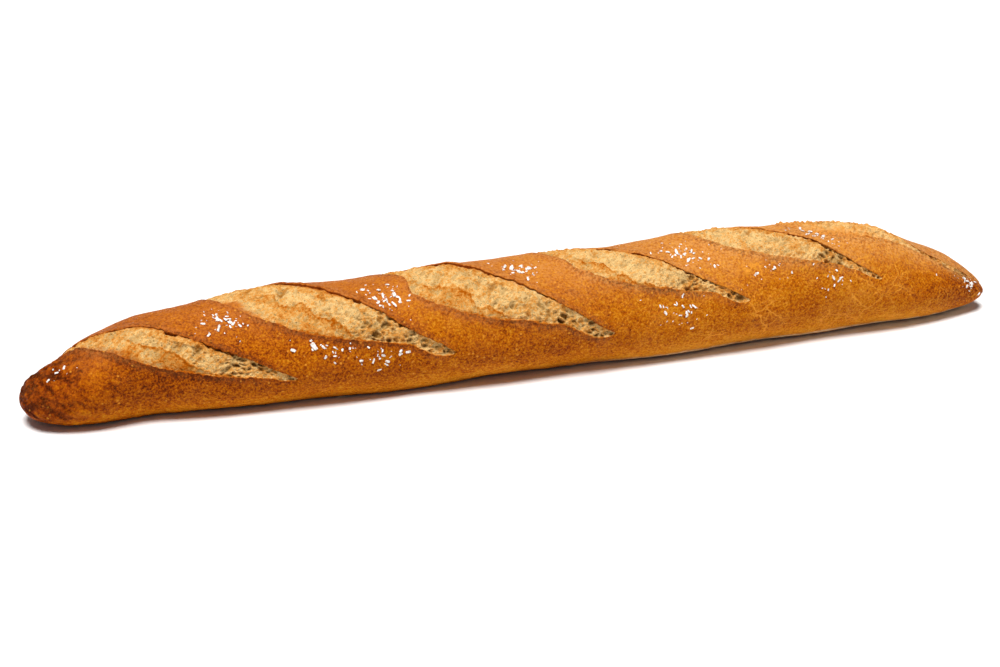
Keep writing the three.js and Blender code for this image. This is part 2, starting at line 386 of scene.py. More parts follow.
@dataclass
class Loaf:
    """The loaf's lines: its plain skin, the lips of its slashes and its unevenness."""

    stations: tuple[Station, ...] = (
        Station(-265, 0, 12.5, 12.5, -14.5),
        Station(-259, 26, 24, 3.5, -15.5),
        Station(-247, 38.5, 30, -1, -15),
        Station(-228, 53, 39.5, -4, -11),
        Station(-196, 60.5, 47.5, -5, -5),
        Station(-150, 66, 51.5, -5, -5),
        Station(-85, 69, 53, -5, -5.5),
        Station(0, 71, 55.5, -5, -2.5),
        Station(85, 71, 55, -5, 1),
        Station(150, 70.5, 55, -5, 4),
        Station(196, 64.5, 50, -5, 5.5),
        Station(228, 51.5, 38, -3.5, 4),
        Station(247, 38, 29, -0.5, 2.5),
        Station(259, 22.5, 20, 3.5, -1),
        Station(265, 0, 10.5, 10.5, -5.5),
    )
    slashes: tuple[Slash, ...] = (
        Slash((-243, 118), (-127, -4), 1, 21, seed=11, shelf=0.52, narrowing=1.6, covered=0.65),
        Slash((-178, 152), (-45, 3), -6, 25, seed=23, shelf=0.5, covered=0.7),
        Slash((-90, 152), (41, 2), -1, 27, seed=35, shelf=0.66, blunt=0.27, pinch=0.4),
        Slash((3, 147), (118, 17), 2, 24, seed=47, shelf=0.72, pinch=0.15),
        Slash((82, 145), (196, 24), -3, 19, seed=59, shelf=1.0, blunt=0.17, covered=0.1),
        Slash(
            (148, 128), (256, 50), -8, 20, seed=71, shelf=0.9, widening=0.8, narrowing=3,
            ear=0.6, lip=0.5, torn=0.6, covered=0.6,
        ),
    )
    waist_share: float = 0.42
    ear_spread: float = 4.0
    lip_spread: float = 4.5
    base_round: float = 0.45  # how softly the skin turns in at the table
    base_drop: float = 0.05  # brings the rounded base back down to the table
    # Waves of the dough: height, radians to a millimetre along, turns round, and phase.
    waves: tuple = ((0.7, 0.031, 2, 0.4), (0.5, 0.052, -3, 2.1), (0.35, 0.083, 4, 4.4))
    grain: tuple[float, float, float] = (0.8, -0.25, -0.5)  # the way the dough was drawn out
    bake: float = 0.46
    # How much browner the crust grows from one place to another: along, up, and at the rim. Up, it grows
    # paler low on the sides, partly less baked and partly painted bounce light from the floor, and a
    # little browner higher up; at the rim it grows browner, partly baked and partly painted contact
    # shade.
    baked_along: tuple = ((0.16, 20, -230), (0.22, -236, -260), (-0.07, 40, 200), (0.28, 205, 258))
    baked_and_bounce_lit_up: tuple = ((-0.26, 18, 4), (0.05, 34, 22))
    baked_and_shaded_rim: tuple = ((0.5, 2.2, 0.9),)
    shift: Array = field(default_factory=lambda: np.zeros(3))

    def __post_init__(self) -> None:
        """Prepares the curves and the shift from the loaf's own lines to the CAD's frame."""
        self.first = self.stations[0].x
        self.length = self.stations[-1].x - self.first
        self.curves = {key: self.curve(key) for key in ("width", "top", "under", "bow")}
        points = self.cad_points()
        nose = points[points[:, 0].argmin()] / METRES
        self.shift = np.array([0.0, nose[1] - self.stations[0].bow, 0.0])
        LOG.info("loaf lines moved by %.2f mm", self.shift[1])

    @staticmethod
    def cad_points() -> Array:
        """The vertices of the CAD's loaf, in metres.

        Returns:
            The points, by vertex.
        """
        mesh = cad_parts["loaf"].data
        points = np.empty(len(mesh.vertices) * 3)
        mesh.vertices.foreach_get("co", points)
        return points.reshape(-1, 3)

    def stretched(self, x: Array) -> Array:
        """A scale along the loaf that is stretched at both ends, so that the ends are round."""
        return np.arccos(np.clip(1 - 2 * (x - self.first) / self.length, -1, 1))

    def unstretched(self, place: Array) -> Array:
        """The x of a place on the stretched scale."""
        return self.first + self.length * (1 - np.cos(place)) / 2

    def curve(self, key: str) -> tuple[Array, Array, Array]:
        """Knots, values and slopes of a smooth curve through the stations (Fritsch-Carlson).

        Args:
            key: the stations' field that it runs through.

        Returns:
            The knots on the stretched scale, and the values and slopes there.
        """
        knots = self.stretched(np.array([s.x for s in self.stations], dtype=float))
        values = np.array([getattr(s, key) for s in self.stations], dtype=float)
        secant = np.diff(values) / np.diff(knots)
        before, after = secant[:-1], secant[1:]
        total = np.where(before + after == 0, 1, before + after)
        inner = np.where(before * after <= 0, 0, 2 * before * after / total)
        return knots, values, np.concatenate([secant[:1], inner, secant[-1:]])

    def along_curve(self, key: str, place: Array) -> Array:
        """Reads a curve at places on the stretched scale, by cubic Hermite spans.

        Args:
            key: which curve.
            place: places on the stretched scale along the loaf.

        Returns:
            Its values there.
        """
        knots, values, slopes = self.curves[key]
        i = np.clip(np.searchsorted(knots, place, side="right") - 1, 0, len(knots) - 2)
        span = knots[i + 1] - knots[i]
        t = np.clip((place - knots[i]) / span, 0, 1)
        ease = t * t * (3 - 2 * t)
        bend = t * (1 - t) * span * (slopes[i] * (1 - t) - slopes[i + 1] * t)
        return values[i] + (values[i + 1] - values[i]) * ease + bend

    def section(self, place: Array) -> tuple[Array, Array, Array]:
        """The height of a section's widest line, and its height over and under that line.

        Args:
            place: places on the stretched scale along the loaf.

        Returns:
            The three heights.
        """
        top, under = self.along_curve("top", place), self.along_curve("under", place)
        base = np.maximum(under, 0)
        waist = base + self.waist_share * (top - base)
        return waist, top - waist, waist - under

    def plain(self, place: Array, angle: Array) -> Array:
        """The plain skin: half-ellipses over and under the widest line of each section.

        Args:
            place: places on the stretched scale along the loaf.
            angle: places round it.

        Returns:
            Points, the last axis being x, y, z.
        """
        waist, over, below = self.section(place)
        turn = np.radians(angle)
        half_height = np.where(np.sin(turn) > 0, over, below)
        y = self.along_curve("bow", place) - self.along_curve("width", place) / 2 * np.cos(turn)
        z = waist + half_height * np.sin(turn)
        x = self.unstretched(place)
        return np.stack(np.broadcast_arrays(x, y, z), axis=-1) + self.shift

    def outward(self, place: Array, angle: Array) -> Array:
        """The direction out of the plain skin: the cross product of its two tangents.

        Args:
            place: places on the stretched scale along the loaf.
            angle: places round it.

        Returns:
            Vectors of length 1.
        """
        step, turn = 2e-3, 0.25
        low, high = np.maximum(place - step, 1e-6), np.minimum(place + step, math.pi - 1e-6)
        along = self.plain(high, angle) - self.plain(low, angle)
        around = self.plain(place, angle + turn) - self.plain(place, angle - turn)
        normal = np.cross(along, around)
        return normal / np.maximum(np.linalg.norm(normal, axis=-1, keepdims=True), 1e-12)

    def swell(self, x: Array, angle: Array) -> Array:
        """Slow unevenness of the dough: three waves along and round the loaf.

        Args:
            x: places along the loaf.
            angle: places round it.

        Returns:
            Heights over the plain skin.
        """
        turn = np.radians(angle)
        total = np.zeros(x.shape)
        for size, rate, turns, phase in self.waves:
            total = total + size * np.sin(rate * x + turns * turn + phase)
        return total

    def lips(self, x: Array, angle: Array) -> tuple[Array, Array, Array]:
        """The torn crust that stands up along the slashes.

        Args:
            x: places along the loaf.
            angle: places round it, from -90 to 270.

        Returns:
            The height of the lips, how much they are browned, from 0 to 1, and how far inside
            an opening the place lies, negative outside.
        """
        height, browned = np.zeros(x.shape), np.zeros(x.shape)
        inside = np.full(x.shape, -99.0)
        for slash in self.slashes:
            along, across = slash.to_plan(x, angle)
            upper, lower = slash.edges(along)
            full = slash.fullness(along)
            above, below = upper - across, across - lower
            ear = slash.read("ear", along) * bell(np.maximum(above, 0), self.ear_spread)
            lip = slash.read("lip", along) * self.lip_shape(np.maximum(below, 0))
            within = np.minimum(-above, -below)
            side = smoothstep(-0.5, 0.5, below - above)
            height += mixed(ear, lip, side)
            rim = mixed(0.75 * bell(above - 0.8, 1.7), 0.85 * bell(below - 1.6, 2.2), side)
            browned = np.maximum(browned, full * rim)
            inside = np.where(full > 0.004, np.maximum(inside, within), inside)
        return height, browned, inside

    def lip_shape(self, outside: Array) -> Array:
        """The lower lip's share of its height: a crisp crest on a broad swelling."""
        return 0.7 * bell(outside, self.lip_spread) + 0.3 * bell(outside, 1.3)

    def dimples(self, point: Array) -> Array:
        """Broad dents and finer unevenness of the crust, as two layers of noise."""
        return 0.45 * layered_noise(point, 17, 301, 3) + 0.12 * layered_noise(point, 4.5, 307, 2)

    def folds(self, point: Array, x: Array) -> Array:
        """Thin folds on the noses, from 0 to 1, that run on in the direction of the slashes.

        They lie where drawn-out noise passes through 0.

        Args:
            point: points of the plain skin.
            x: their places along the loaf.

        Returns:
            How much each point lies in a fold.
        """
        nose = smoothstep(-218, -246, x) + 0.5 * smoothstep(246, 260, x)
        line = layered_noise(drawn_out(point, self.grain, 4), 4.2, 331, 3)
        return nose * bell(line, 0.16)

    def crust(self, x: Array, angle: Array, extra: Array | float = 0.0) -> Array:
        """The finished crust, with an extra height over it.

        The plain skin is moved outwards by the swell, lips and dimples, which fade out at the
        noses, and inwards by the folds there. What would lie under the table turns in softly
        above it.

        Args:
            x: places along the loaf.
            angle: places round it.
            extra: heights to add.

        Returns:
            Points, the last axis being x, y, z.
        """
        place, turned = self.stretched(x), one_turn(angle)
        point, normal = self.plain(place, angle), self.outward(place, angle)
        height = self.lips(x, turned)[0] + self.swell(x, turned)
        fade = np.clip(self.along_curve("width", place) / 50, 0, 1)
        height = fade * (height + extra) - 0.8 * self.folds(point, x) + fade * self.dimples(point)
        moved = point + normal * height[..., None]
        z = moved[..., 2]
        ragged = 0.5 * smooth_noise(point, 3.5, 341) * bell(z, 2.5)
        rounded = (z + ragged + np.sqrt(z**2 + 4 * self.base_round**2)) / 2
        moved[..., 2] = np.maximum(rounded - self.base_drop, 0.02)
        return moved

    def traits(self, x: Array, angle: Array, points: Array) -> dict[Trait, Array]:
        """What the crust tells its material at each point: browning, flour, the base and painted sheen.

        Args:
            x: places along the loaf.
            angle: places round it.
            points: the finished points there.

        Returns:
            One array for each trait, with no crumb.
        """
        turned = one_turn(angle)
        browned = self.lips(x, turned)[1]
        z = points[..., 2]
        ragged = z + 1.1 * layered_noise(points, 4, 419, 3)
        bake = self.bake + 0.28 * browned + 0.26 * self.folds(points, x)
        for value, steps in ((x, self.baked_along), (z, self.baked_and_bounce_lit_up), (ragged, self.baked_and_shaded_rim)):
            for more, start, end in steps:
                bake = bake + more * smoothstep(start, end, value)
        bake = bake + 0.13 * layered_noise(points, 26, 401, 3)
        bake = bake + 0.1 * layered_noise(drawn_out(points, self.grain, 2.5), 7, 409, 3)
        hairline = layered_noise(drawn_out(points, self.grain, 5), 2.4, 439, 2)
        bake = bake + 0.24 * hairline * smoothstep(-195, -225, x)
        flour = bell(ragged - 2.7, 1.0) * smoothstep(0, 90, x)
        # Painted sheen: paler colour on the upward-facing crest and on the browned lips, for light
        # reflected there.
        crest = smoothstep(20, 75, turned) * smoothstep(200, 150, turned)
        sheen = (0.85 * crest + 0.4 * browned) * smoothstep(-255, -215, x)
        sheen = sheen * mixed(0.8, 1.1, smoothstep(-200, 80, x))
        sheen = sheen + 0.25 * layered_noise(points, 9, 431, 3)
        none = np.zeros(x.shape)
        return {
            Trait.BAKE: np.clip(bake, 0, 1),
            Trait.FLOUR: np.clip(flour, 0, 1),
            # The base, whose darker tan along the bottom edge is also painted contact shade.
            Trait.SOLE_AND_CONTACT_SHADE: smoothstep(0.9, 0.4, z),
            Trait.PAINTED_SHEEN: np.clip(sheen, 0, 1),
            **{trait: none for trait in (Trait.CRUMB, Trait.TOAST, Trait.CELL_SHADE)},
        }


# ---- Meshes -------------------------------------------------------------------------------


def make_piece(name: str, points: Array, faces: Array, traits: dict[Trait, Array]) -> bpy.types.Object:
    """Makes a mesh object from whole arrays.

    Args:
        name: the piece's name.
        points: vertices in millimetres.
        faces: the corners of quads, or of triangles where the last corner is repeated.
        traits: one number for each vertex and trait.

    Returns:
        The object, at the origin, with smooth shading.
    """
    triangle = faces[:, 2] == faces[:, 3]
    sizes = np.where(triangle, 3, 4)
    starts = np.concatenate([[0], np.cumsum(sizes)[:-1]])
    keep = np.ones(faces.shape, dtype=bool)
    keep[:, 3] = ~triangle
    mesh = bpy.data.meshes.new(name)
    mesh.vertices.add(len(points))
    mesh.vertices.foreach_set("co", (points * METRES).astype(np.float32).ravel())
    mesh.loops.add(int(sizes.sum()))
    mesh.loops.foreach_set("vertex_index", faces[keep].astype(np.int32))
    mesh.polygons.add(len(faces))
    mesh.polygons.foreach_set("loop_start", starts.astype(np.int32))
    mesh.polygons.foreach_set("use_smooth", np.ones(len(faces), dtype=bool))
    mesh.update(calc_edges=True)
    for trait, values in traits.items():
        layer = mesh.attributes.new(trait.value, "FLOAT", "POINT")
        layer.data.foreach_set("value", values.astype(np.float32).ravel())
    piece = bpy.data.objects.new(name, mesh)
    bpy.context.scene.collection.objects.link(piece)
    LOG.info("%s: %d points, %d faces", name, len(points), len(faces))
    return piece


def closed_tube(rings: Array, first: Array, last: Array) -> tuple[Array, Array]:
    """Joins rings of points into a closed skin with a pole at each end.

    Args:
        rings: points by ring and place in the ring. Seen from the first pole, each ring runs
            clockwise, so that the faces look outwards.
        first: the first pole.
        last: the last pole.

    Returns:
        All the points, and the faces as quads with a repeated corner where they are triangles.
    """
    count, around = rings.shape[:2]
    index = 1 + np.arange(count * around).reshape(count, around)
    after = np.roll(index, -1, axis=1)
    sides = np.stack([index[:-1], index[1:], after[1:], after[:-1]], axis=-1).reshape(-1, 4)
    zero = np.zeros(around, dtype=int)
    end = zero + 1 + count * around
    start_fan = np.stack([zero, index[0], after[0], after[0]], axis=-1)
    end_fan = np.stack([end, after[-1], index[-1], index[-1]], axis=-1)
    points = np.concatenate([first[None], rings.reshape(-1, 3), last[None]])
    return points, np.concatenate([start_fan, sides, end_fan])


def with_poles(values: Array) -> Array:
    """Flattens one number for each ring point, and adds a pole's at each end."""
    return np.concatenate([[values[0].mean()], values.ravel(), [values[-1].mean()]])


@dataclass
class CrustSkin:
    """The crust all round the loaf, sunk under the openings, which have pieces of their own."""

    loaf: Loaf
    rows: int = 560
    columns: int = 176
    under_share: float = 0.4  # how closely the columns lie underneath, compared with above
    sink: float = 9.0

    def row_places(self) -> Array:
        """Places at even steps of the distance travelled over the loaf's end profile.

        Returns:
            Places on the stretched scale, from one nose to the other.
        """
        place = np.linspace(0, math.pi, 6001)
        outline = [self.loaf.unstretched(place), self.loaf.along_curve("width", place) / 2]
        steps = np.hypot(*np.diff(outline, axis=1))
        return at_even_steps(place, steps, np.linspace(0, 1, self.rows + 2)[1:-1])

    def column_angles(self) -> Array:
        """Angles round the loaf, closer together above than underneath.

        Returns:
            Angles from -90 to a little under 270.
        """
        angle = np.linspace(-90, 270, 3601)
        above = smoothstep(-62, -50, angle) * smoothstep(242, 230, angle)
        steps = mixed(self.under_share, 1, above)[1:]
        return at_even_steps(angle, steps, np.arange(self.columns) / self.columns)

    def build(self) -> bpy.types.Object:
        """Makes the piece: rings of crust points from one nose to the other.

        Returns:
            The piece.
        """
        place, angle = np.meshgrid(self.row_places(), self.column_angles(), indexing="ij")
        x = self.loaf.unstretched(place)
        rings = self.loaf.crust(x, angle, -self.sunk(x, angle))
        traits = self.loaf.traits(x, angle, rings)
        ends = [self.loaf.plain(np.array(p), np.array(0.0)) for p in (0.0, math.pi)]
        points, faces = closed_tube(rings, *ends)
        values = {trait: with_poles(each) for trait, each in traits.items()}
        return make_piece("crust", points, faces, values)

    def sunk(self, x: Array, angle: Array) -> Array:
        """How far the crust lies under its openings, from a little outside their edges.

        Args:
            x: places along the loaf.
            angle: places round it.

        Returns:
            Depths under the crust.
        """
        depth = np.zeros(x.shape)
        for slash in self.loaf.slashes:
            along, across = slash.to_plan(x, angle)
            upper, lower = slash.edges(along)
            inside = np.minimum(across - upper, lower - across)
            depth = np.maximum(depth, slash.fullness(along) * smoothstep(-3.0, -1.0, inside))
        return self.sink * depth


@dataclass
class Opening:
    """One slash's opening: torn lips, and the crumb between them, as one closed strip."""

    loaf: Loaf
    slash: Slash
    step: float = 0.42  # length of a row
    border: float = 7.0  # crust carried by the strip outside each lip
    overhang: float = 0.45
    rim_radius: float = 0.4
    cave: float = 0.5  # depth under the upper lip where it is shallow
    cave_more: float = 2.2  # and how much more where it is deep
    crumb_sink: float = 0.5
    proud: float = 0.06  # how far the strip's border lies over the crust
    tuck: float = 1.4  # how far the border's outer edge is tucked under it
    under_depth: float = 7.0  # depth of the strip's closed underside
    short_of_nose: float = 0.8
    bowl_depth: float = 2.4
    large_depth: float = 2.4
    small_depth: float = 0.5
    large_cell: tuple[float, float, float] = (4.2, 3.4, 3.6)
    small_cell: tuple[float, float, float] = (1.7, 1.3, 1.4)
    granule: tuple[float, float, float] = (2.6, 2.4, 2.5)

    def build(self, number: int) -> bpy.types.Object:
        """Makes the strip: at each row a profile from crust to crust, closed underneath.

        Args:
            number: the slash's number, for the piece's name.

        Returns:
            The piece.
        """
        slash = self.slash
        overrun = 3.0
        rows = int((slash.length + 2 * overrun) / self.step)
        along = np.linspace(-overrun, slash.length + overrun, rows)[:, None]
        across, height, crumb, share = self.profile(along)
        along = np.broadcast_to(along, across.shape).copy()
        relief, toast, cell, skin = self.crumb_relief(along, across, share)
        height = height + smoothstep(0.3, 0.9, crumb) * relief
        crumb = crumb * (1 - skin) * slash.torn
        x, angle = slash.to_crust(along, across)
        nose = self.loaf.first + self.short_of_nose
        x = np.clip(x, nose, nose + self.loaf.length - 2 * self.short_of_nose)
        over_lips = height - self.loaf.lips(x, one_turn(angle))[0]
        rings = self.loaf.crust(x, angle, over_lips)
        traits = self.loaf.traits(x, angle, rings)
        lower = slash.edges(along)[1]
        rim_browning = bell(across - lower - 0.7, 0.8) * slash.fullness(along)
        traits[Trait.BAKE] = traits[Trait.BAKE] + 0.16 * rim_browning
        traits |= {Trait.CRUMB: crumb, Trait.TOAST: toast, Trait.CELL_SHADE: cell}
        ends = [rings[i].mean(axis=0) for i in (0, -1)]
        points, faces = closed_tube(rings, *ends)
        values = {trait: with_poles(each) for trait, each in traits.items()}
        return make_piece(f"opening_{number}", points, faces, values)

    def wander(self, along: Array, size: float, key: int) -> Array:
        """Noise along the slash, the same all the way across."""
        return layered_noise(on_line(along), size, self.slash.seed * 50 + key, 4)

    def profile(self, along: Array) -> tuple[Array, Array, Array, Array]:
        """The strip's outline across the slash, as segments joined end to end.

        The segments are the crust above the slash, rising to the ear; the ear's rounded rim;
        its underside, going back into the cave; the crumb; the lower lip; the crust below it;
        and three points that close the strip underneath.

        Args:
            along: rows' distances along the slash, as a column.

        Returns:
            Distances across, heights, how much each point is crumb, and its share of the way
            across the opening, by row and place in the profile.
        """
        upper, lower = self.slash.edges(along)
        full = self.slash.fullness(along)
        width = lower - upper
        rim = self.rim_radius * full
        jut = np.clip(0.7 + 1.3 * self.wander(along, 8, 1), 0.1, 2)
        raised = self.slash.settled(along)
        over = np.minimum(self.overhang * jut, 0.2 * width) * full * raised
        ear, lip = self.slash.read("ear", along), self.slash.read("lip", along)
        inset = np.minimum(0.5, 0.1 * width)
        deep = smoothstep(0.15, 0.55, self.wander(along, 7, 2))
        cave = full * raised * (self.cave + self.cave_more * deep)

        out = np.linspace(0, 1, 14)
        reach = upper - self.border + (self.border + over) * out
        rise = ear * bell(np.maximum(upper - reach, 0), self.loaf.ear_spread)

        turn = np.linspace(0, math.pi, 6)[1:]
        rim_across = upper + over + rim * np.sin(turn)
        rim_height = ear - rim * (1 - np.cos(turn))

        back = np.linspace(0, 1, 8)[1:-1]
        cave_across = upper + mixed(over, inset, back) - 0.42 * cave * np.sin(math.pi * back)
        cave_height = mixed(ear - 2 * rim, -cave, back**0.85)

        share = np.linspace(0, 1, 86)
        crumb_across = mixed(upper + inset, lower - inset, share)
        s = along / self.slash.length
        pocket = 1.5 * smoothstep(0.68, 0.9, s) * np.sin(math.pi * share)
        bulge = 1.3 * np.sin(math.pi * share) * raised
        crumb_height = full * (bulge - pocket - self.crumb_sink)
        crumb_height = crumb_height + 0.7 * ear * (1 - share) ** 2 * smoothstep(0.95, 0.6, s)
        dip = cave - full * self.crumb_sink + crumb_height[:, :1]
        crumb_height = crumb_height - dip * smoothstep(0.12, 0.0, share)

        up = np.linspace(0, 1, 7)[1:]
        lip_across = mixed(lower - inset, lower + 0.25 * inset, up)
        lip_height = mixed(crumb_height[:, -1:], lip, np.sin(up * math.pi / 2))

        off = np.linspace(0, 1, 19)[1:] ** 1.3
        down = lower + 0.25 * inset + self.border * off
        fall = lip * self.loaf.lip_shape(np.maximum(down - lower, 0))

        under = np.array([0.15, 0.5, 0.85])
        under_across = mixed(down[:, -1:], reach[:, :1], under)
        under_height = np.broadcast_to(-self.under_depth * np.array([0.6, 1.0, 0.6]), under_across.shape)

        segments = [
            (reach, rise, 0.0), (rim_across, rim_height, 0.15), (cave_across, cave_height, 0.85),
            (crumb_across, crumb_height, 1.0), (lip_across, lip_height, 1.0), (down, fall, 0.0),
            (under_across, under_height, 0.0),
        ]
        across = np.concatenate([each[0] for each in segments], axis=1)
        height = np.concatenate([each[1] for each in segments], axis=1)
        crumb = np.concatenate([np.full(each[0].shape, each[2]) for each in segments], axis=1)
        crumb = crumb * smoothstep(0.0, 0.12, full)
        first_lip = sum(each[0].shape[1] for each in segments[:4])
        crumb[:, first_lip:first_lip + len(up)] *= np.linspace(0.95, 0.1, len(up))
        height = height + self.border_offset(along, across, upper, lower)
        return across, height, crumb, (across - upper) / np.maximum(width, 0.5)

    def border_offset(self, along: Array, across: Array, upper: Array, lower: Array) -> Array:
        """Lifts the strip a hair over the crust, and sinks its outer edge and ends under it.

        Args:
            along: distances along the slash.
            across: distances across it.
            upper: where the upper edge lies, across.
            lower: where the lower edge lies, across.

        Returns:
            Heights to add.
        """
        outside = np.maximum(upper - across, across - lower)
        past = np.maximum(-along, along - self.slash.length)
        sink = smoothstep(self.border - 1.6, self.border, outside) + smoothstep(-1.0, 2.5, past)
        return self.proud - self.tuck * np.minimum(sink, 1)

    def crumb_relief(
        self, along: Array, across: Array, share: Array
    ) -> tuple[Array, Array, Array, Array]:
        """The torn crumb's own shape: webs, a flap with bowls under it, a shelf, and cells.

        The web is ridged noise, 1 where noise passes through 0. The flap is a torn strip along
        the upper lip, and under its ragged edge lies a row of bowls, one to each cell of a
        pattern along the slash. The shelf is a step along the lower side whose edge slants to
        meet the lower lip towards the front tip. Cells are Worley bowls, wide with thin walls
        towards the front tip, and small in patches elsewhere.

        Args:
            along: distances along the slash.
            across: distances across it.
            share: share of the way across the opening.

        Returns:
            Height over the smooth crumb, how toasted it is, with painted shade in the bowls, how deep in
            a hollow it lies, which is painted as shade, and how much crust still covers it.
        """
        seed = self.slash.seed * 100
        s = along / self.slash.length
        full = self.slash.fullness(along)
        upper, lower = self.slash.edges(along)
        open_enough = np.clip((lower - upper) / 3.5, 0, 1)
        place = np.stack([along, across, np.zeros(along.shape)], axis=-1)
        leaning = place + on_line(0.35 * across)
        lumps = layered_noise(place, (10, 6, 9), seed, 4)
        grain = layered_noise(place, 1.3, seed + 20, 3)
        patch = layered_noise(place, 8, seed + 40, 3)
        web = 1 - 2.6 * np.abs(layered_noise(leaning, (3.6, 5.2, 9), seed + 90, 4))
        web = np.clip(web, -0.3, 1)

        tear = 0.24 + 0.12 * layered_noise(place, (8, 60, 9), seed + 70, 5)
        held = smoothstep(0.12, 0.3, s) * smoothstep(0.8, 0.62, s)
        flap = smoothstep(tear + 0.02, tear - 0.02, share) * held
        spot_wall, spot_lot = cell_pattern(on_line(along), 5.5, seed + 75)
        bowl = smoothstep(0.05, 0.8, spot_wall) * smoothstep(0.4, 0.6, spot_lot)
        bowl = bowl * bell(share - tear - 0.08, 0.1) * (share > tear - 0.03) * held

        line = mixed(self.slash.shelf, 1.15, smoothstep(0.45, 0.82, s))
        torn = line + 0.22 * layered_noise(place, (9, 50, 9), seed + 30, 5)
        lasting = smoothstep(0.2, 0.4, s)
        shelf = smoothstep(torn - 0.02, torn + 0.05, share) * lasting
        shelf_edge = bell(share - torn - 0.03, 0.035) * lasting

        openness = smoothstep(0.6, 0.76, s + 0.1 * patch) * (1 - 0.9 * shelf)
        uneven = warped(place, 3.5, 0.7, seed + 45)
        large_wall, large_lot = cell_pattern(uneven, self.large_cell, seed + 50)
        uneven = warped(leaning, 2, 0.5, seed + 46)
        small_wall, small_lot = cell_pattern(uneven, self.small_cell, seed + 60)
        large = smoothstep(0.03, 0.5, large_wall) * mixed(1, 0.3, large_lot) * openness
        small = smoothstep(0.05, 0.5, small_wall) * smoothstep(0.75, 0.3, small_lot)
        small = small * mixed(0.3, 1, smoothstep(-0.3, 0.4, patch)) * (1 - 0.6 * shelf)
        bubble_wall, bubble_lot = cell_pattern(place, self.granule, seed + 80)
        granules = smoothstep(0.05, 0.6, bubble_wall) * (1 - self.slash.torn) * smoothstep(0.6, 0.4, s)

        relief = 0.7 * lumps + 0.3 * grain + 0.5 * shelf + 0.35 * shelf_edge
        relief = relief + 0.9 * (web - 0.5) * (1 - 0.7 * shelf) * (1 - 0.6 * flap)
        relief = relief + 0.6 * flap
        pitted = -(self.bowl_depth * bowl + self.large_depth * large + self.small_depth * small)
        relief = relief + 2.2 * granules * mixed(0.4, 1.2, bubble_lot)
        toast = 0.08 + 0.32 * shelf * smoothstep(0.85, 0.6, s) + 0.4 * shelf_edge + 0.2 * patch
        # The bowls' toast is painted shade under the flap's edge.
        toast = toast + 0.3 * lumps + 0.3 * (web - 0.4) + 0.25 * flap + 0.35 * bowl
        toast = toast + 0.3 * granules + 0.12 * openness + 0.2 * smoothstep(0.35, 0.1, s)
        toast = toast + 0.35 * bell(share, 0.05)
        toast = toast + 0.6 * bell(1 - share, 0.04) * smoothstep(0.3, 0.6, s)
        # Painted shade: darker in the cells, in the bowls under the flap and between the web's ridges.
        cell = large + 0.4 * small + 0.8 * bowl + 0.4 * smoothstep(0.3, -0.2, web) * (1 - flap)
        low_skin = smoothstep(0.55, 1.0, share + 0.15 * lumps) * smoothstep(0.6, 0.25, s)
        high_skin = smoothstep(tear, 0.0, share) * smoothstep(0.85, 0.6, s)
        skin = np.maximum(self.slash.covered * low_skin, 0.55 * high_skin)
        skin = skin * ((share > 0) & (share < 1.01))
        relief = full * relief + open_enough * pitted
        return relief, np.clip(toast, 0, 1), np.clip(cell * open_enough, 0, 1), skin


# ---- Salt ---------------------------------------------------------------------------------


